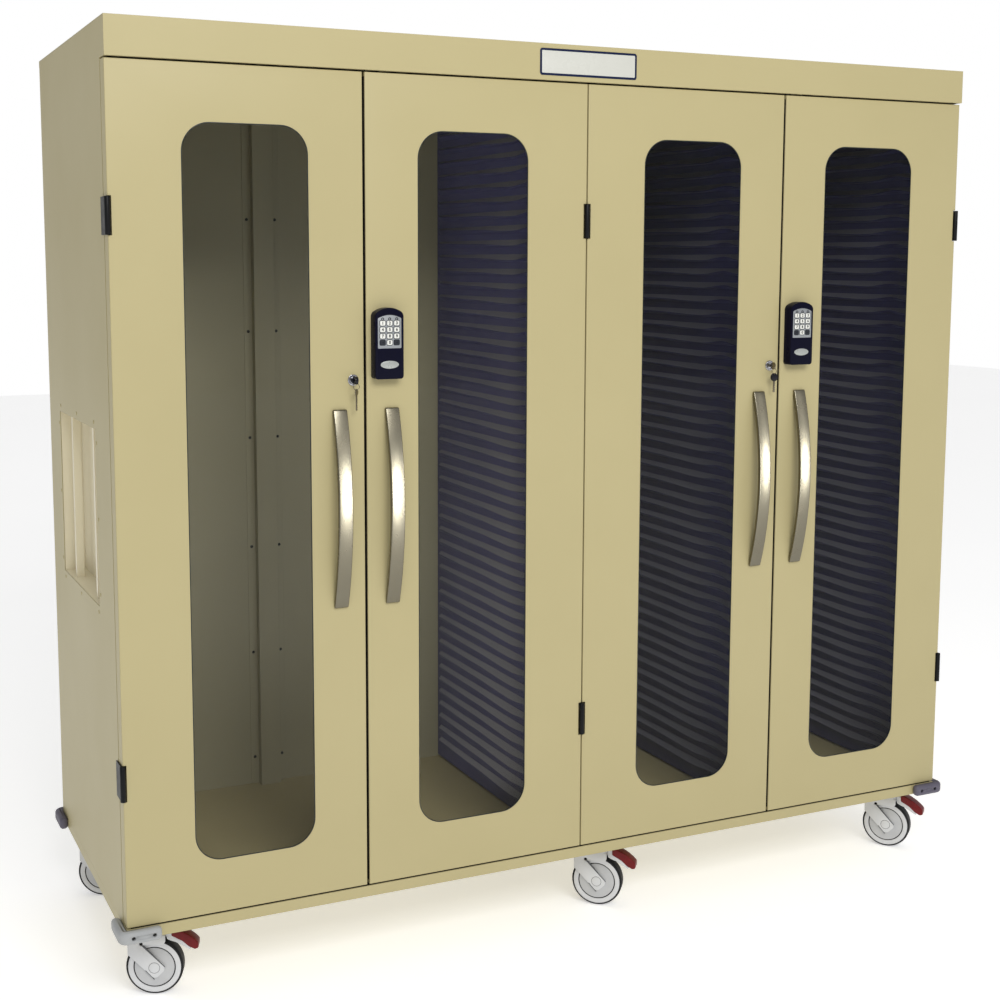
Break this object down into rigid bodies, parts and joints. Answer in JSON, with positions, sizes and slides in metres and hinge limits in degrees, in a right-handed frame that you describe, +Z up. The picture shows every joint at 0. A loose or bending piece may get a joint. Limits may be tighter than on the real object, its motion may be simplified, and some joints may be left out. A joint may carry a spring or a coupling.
{
  "type": "mobile storage cabinet",
  "caption": "Tall mobile storage cabinet with hinged glazed doors, bow handles, keypad and key locks, ribbed tray liners, corner bumpers and braked swivel casters.",
  "frame": {"origin": "on the floor, under the middle of the whole part's outline", "axes": "+X to the right along the row of doors, -Y out of the doors to the user, +Z up"},
  "size_m": [2.2042, 0.813, 2.07],
  "materials": {
    "cream_powder_coat": "satin powder coat, cream beige",
    "black_hinge_plastic": "matte black moulding",
    "dark_bumper_rubber": "matte dark grey rubber",
    "light_bumper_rubber": "matte light grey rubber",
    "black_liner_plastic": "semi-matte navy black moulding",
    "clear_glass": "clear with a faint green edge",
    "satin_nickel": "satin nickel plate",
    "polished_chrome": "bright plate",
    "navy_keypad_plastic": "dark navy moulding",
    "white_key_rubber": "soft white keys",
    "plated_steel": "zinc plate",
    "light_caster_plastic": "light grey glass-filled nylon",
    "dark_tyre_rubber": "dark tread, light grey hub disc in the render",
    "red_pedal_plastic": "dark red moulding"
  },
  "bodies": {
    "case": {"base_pan": "cream_powder_coat", "left_side_panel": "cream_powder_coat", "right_side_panel": "cream_powder_coat", "back_panel": "cream_powder_coat", "top_cover": "cream_powder_coat", "centre_partition": "cream_powder_coat", "column_divider": "cream_powder_coat", "side_pocket": "cream_powder_coat", "partition_left_liner": "black_liner_plastic", "partition_right_liner": "black_liner_plastic", "divider_left_liner": "black_liner_plastic", "divider_right_liner": "black_liner_plastic", "right_wall_liner": "black_liner_plastic", "front_left_bumper": "light_bumper_rubber", "front_right_bumper": "dark_bumper_rubber", "rear_left_bumper": "dark_bumper_rubber", "rear_right_bumper": "dark_bumper_rubber", "top_left_hinge": "black_hinge_plastic", "top_centre_hinge": "black_hinge_plastic", "top_right_hinge": "black_hinge_plastic", "lower_left_hinge": "black_hinge_plastic", "lower_centre_hinge": "black_hinge_plastic", "lower_right_hinge": "black_hinge_plastic"},
    "door_1_leaf": {"door_1": "cream_powder_coat", "door_1_glass": "clear_glass", "door_1_handle": "satin_nickel"},
    "door_1_lock": {"door_1_key_lock": "polished_chrome"},
    "door_1_hanging_key": {"door_1_spare_key": "polished_chrome"},
    "door_2_leaf": {"door_2": "cream_powder_coat", "door_2_glass": "clear_glass", "door_2_handle": "satin_nickel", "door_2_keypad_housing": "navy_keypad_plastic"},
    "door_2_keys": {"door_2_keypad_keys": "white_key_rubber"},
    "door_2_bolt": {"door_2_lock_bar": "plated_steel"},
    "door_3_leaf": {"door_3": "cream_powder_coat", "door_3_glass": "clear_glass", "door_3_handle": "satin_nickel"},
    "door_3_lock": {"door_3_key_lock": "polished_chrome"},
    "door_3_hanging_key": {"door_3_spare_key": "polished_chrome"},
    "door_4_leaf": {"door_4": "cream_powder_coat", "door_4_glass": "clear_glass", "door_4_handle": "satin_nickel", "door_4_keypad_housing": "navy_keypad_plastic"},
    "door_4_keys": {"door_4_keypad_keys": "white_key_rubber"},
    "door_4_bolt": {"door_4_lock_bar": "plated_steel"},
    "front_left_swivel": {"front_left_caster_fork": "light_caster_plastic"},
    "front_left_wheel": {"front_left_caster_wheel": "dark_tyre_rubber"},
    "front_left_pedal": {"front_left_brake_pedal": "red_pedal_plastic"},
    "front_middle_swivel": {"front_middle_caster_fork": "light_caster_plastic"},
    "front_middle_wheel": {"front_middle_caster_wheel": "dark_tyre_rubber"},
    "front_middle_pedal": {"front_middle_brake_pedal": "red_pedal_plastic"},
    "front_right_swivel": {"front_right_caster_fork": "light_caster_plastic"},
    "front_right_wheel": {"front_right_caster_wheel": "dark_tyre_rubber"},
    "front_right_pedal": {"front_right_brake_pedal": "red_pedal_plastic"},
    "rear_left_swivel": {"rear_left_caster_fork": "light_caster_plastic"},
    "rear_left_wheel": {"rear_left_caster_wheel": "dark_tyre_rubber"},
    "rear_middle_swivel": {"rear_middle_caster_fork": "light_caster_plastic"},
    "rear_middle_wheel": {"rear_middle_caster_wheel": "dark_tyre_rubber"},
    "rear_right_swivel": {"rear_right_caster_fork": "light_caster_plastic"},
    "rear_right_wheel": {"rear_right_caster_wheel": "dark_tyre_rubber"}
  },
  "joints": [
    {"name": "door_1_swing", "type": "hinge", "parent": "case", "child": "door_1_leaf", "pos_m": [-1.08209, -0.3665, 1.09875], "axis": [0, 0, -1], "range_deg": [0, 180]},
    {"name": "door_1_key_turn", "type": "hinge", "parent": "door_1_leaf", "child": "door_1_lock", "pos_m": [-0.56909, -0.3665, 1.341], "axis": [0, 1, 0], "range_deg": [0, 90]},
    {"name": "door_1_spare_key_swing", "type": "hinge", "parent": "door_1_lock", "child": "door_1_hanging_key", "pos_m": [-0.56909, -0.3868, 1.3344], "axis": [1, 0, 0], "range_deg": [-60, 12]},
    {"name": "door_2_swing", "type": "hinge", "parent": "case", "child": "door_2_leaf", "pos_m": [-0.00009, -0.3665, 1.09875], "axis": [0, 0, 1], "range_deg": [0, 85]},
    {"name": "door_2_keys_press", "type": "slide", "parent": "door_2_leaf", "child": "door_2_keys", "axis": [0, 1, 0], "range_m": [0, 0.001], "stiffness_N_per_m": 900},
    {"name": "door_2_bolt_slide", "type": "slide", "parent": "door_2_leaf", "child": "door_2_bolt", "axis": [0, 0, 1], "range_m": [0, 0.012]},
    {"name": "door_3_swing", "type": "hinge", "parent": "case", "child": "door_3_leaf", "pos_m": [-0.00009, -0.3665, 1.09875], "axis": [0, 0, -1], "range_deg": [0, 85]},
    {"name": "door_3_key_turn", "type": "hinge", "parent": "door_3_leaf", "child": "door_3_lock", "pos_m": [0.51291, -0.3665, 1.341], "axis": [0, 1, 0], "range_deg": [0, 90]},
    {"name": "door_3_spare_key_swing", "type": "hinge", "parent": "door_3_lock", "child": "door_3_hanging_key", "pos_m": [0.51291, -0.3868, 1.3344], "axis": [1, 0, 0], "range_deg": [-60, 12]},
    {"name": "door_4_swing", "type": "hinge", "parent": "case", "child": "door_4_leaf", "pos_m": [1.08191, -0.3665, 1.09875], "axis": [0, 0, 1], "range_deg": [0, 180]},
    {"name": "door_4_keys_press", "type": "slide", "parent": "door_4_leaf", "child": "door_4_keys", "axis": [0, 1, 0], "range_m": [0, 0.001], "stiffness_N_per_m": 900},
    {"name": "door_4_bolt_slide", "type": "slide", "parent": "door_4_leaf", "child": "door_4_bolt", "axis": [0, 0, 1], "range_m": [0, 0.012]},
    {"name": "front_left_swivel_turn", "type": "hinge", "parent": "case", "child": "front_left_swivel", "pos_m": [-1.01609, -0.2385, 0.158], "axis": [0, 0, 1], "continuous": true},
    {"name": "front_left_wheel_spin", "type": "hinge", "parent": "front_left_swivel", "child": "front_left_wheel", "pos_m": [-0.99662, -0.24637, 0.0625], "axis": [0.3746, 0.9272, 0], "continuous": true},
    {"name": "front_left_brake_press", "type": "hinge", "parent": "front_left_swivel", "child": "front_left_pedal", "pos_m": [-0.97344, -0.25573, 0.136], "axis": [0.3746, 0.9272, 0], "range_deg": [0, 10]},
    {"name": "front_middle_swivel_turn", "type": "hinge", "parent": "case", "child": "front_middle_swivel", "pos_m": [0.09991, -0.2385, 0.158], "axis": [0, 0, 1], "continuous": true},
    {"name": "front_middle_wheel_spin", "type": "hinge", "parent": "front_middle_swivel", "child": "front_middle_wheel", "pos_m": [0.116, -0.252, 0.0625], "axis": [0.6428, 0.766, 0], "continuous": true},
    {"name": "front_middle_brake_press", "type": "hinge", "parent": "front_middle_swivel", "child": "front_middle_pedal", "pos_m": [0.13515, -0.26807, 0.136], "axis": [0.6428, 0.766, 0], "range_deg": [0, 10]},
    {"name": "front_right_swivel_turn", "type": "hinge", "parent": "case", "child": "front_right_swivel", "pos_m": [1.01491, -0.2385, 0.158], "axis": [0, 0, 1], "continuous": true},
    {"name": "front_right_wheel_spin", "type": "hinge", "parent": "front_right_swivel", "child": "front_right_wheel", "pos_m": [1.02813, -0.25482, 0.0625], "axis": [0.7771, 0.6293, 0], "continuous": true},
    {"name": "front_right_brake_press", "type": "hinge", "parent": "front_right_swivel", "child": "front_right_pedal", "pos_m": [1.04386, -0.27425, 0.136], "axis": [0.7771, 0.6293, 0], "range_deg": [0, 10]},
    {"name": "rear_left_swivel_turn", "type": "hinge", "parent": "case", "child": "rear_left_swivel", "pos_m": [-1.01609, 0.3185, 0.158], "axis": [0, 0, 1], "continuous": true},
    {"name": "rear_left_wheel_spin", "type": "hinge", "parent": "rear_left_swivel", "child": "rear_left_wheel", "pos_m": [-0.99662, 0.31063, 0.0625], "axis": [0.3746, 0.9272, 0], "continuous": true},
    {"name": "rear_middle_swivel_turn", "type": "hinge", "parent": "case", "child": "rear_middle_swivel", "pos_m": [0.09991, 0.3185, 0.158], "axis": [0, 0, 1], "continuous": true},
    {"name": "rear_middle_wheel_spin", "type": "hinge", "parent": "rear_middle_swivel", "child": "rear_middle_wheel", "pos_m": [0.116, 0.305, 0.0625], "axis": [0.6428, 0.766, 0], "continuous": true},
    {"name": "rear_right_swivel_turn", "type": "hinge", "parent": "case", "child": "rear_right_swivel", "pos_m": [1.01491, 0.3185, 0.158], "axis": [0, 0, 1], "continuous": true},
    {"name": "rear_right_wheel_spin", "type": "hinge", "parent": "rear_right_swivel", "child": "rear_right_wheel", "pos_m": [1.02813, 0.30218, 0.0625], "axis": [0.7771, 0.6293, 0], "continuous": true}
  ]
}
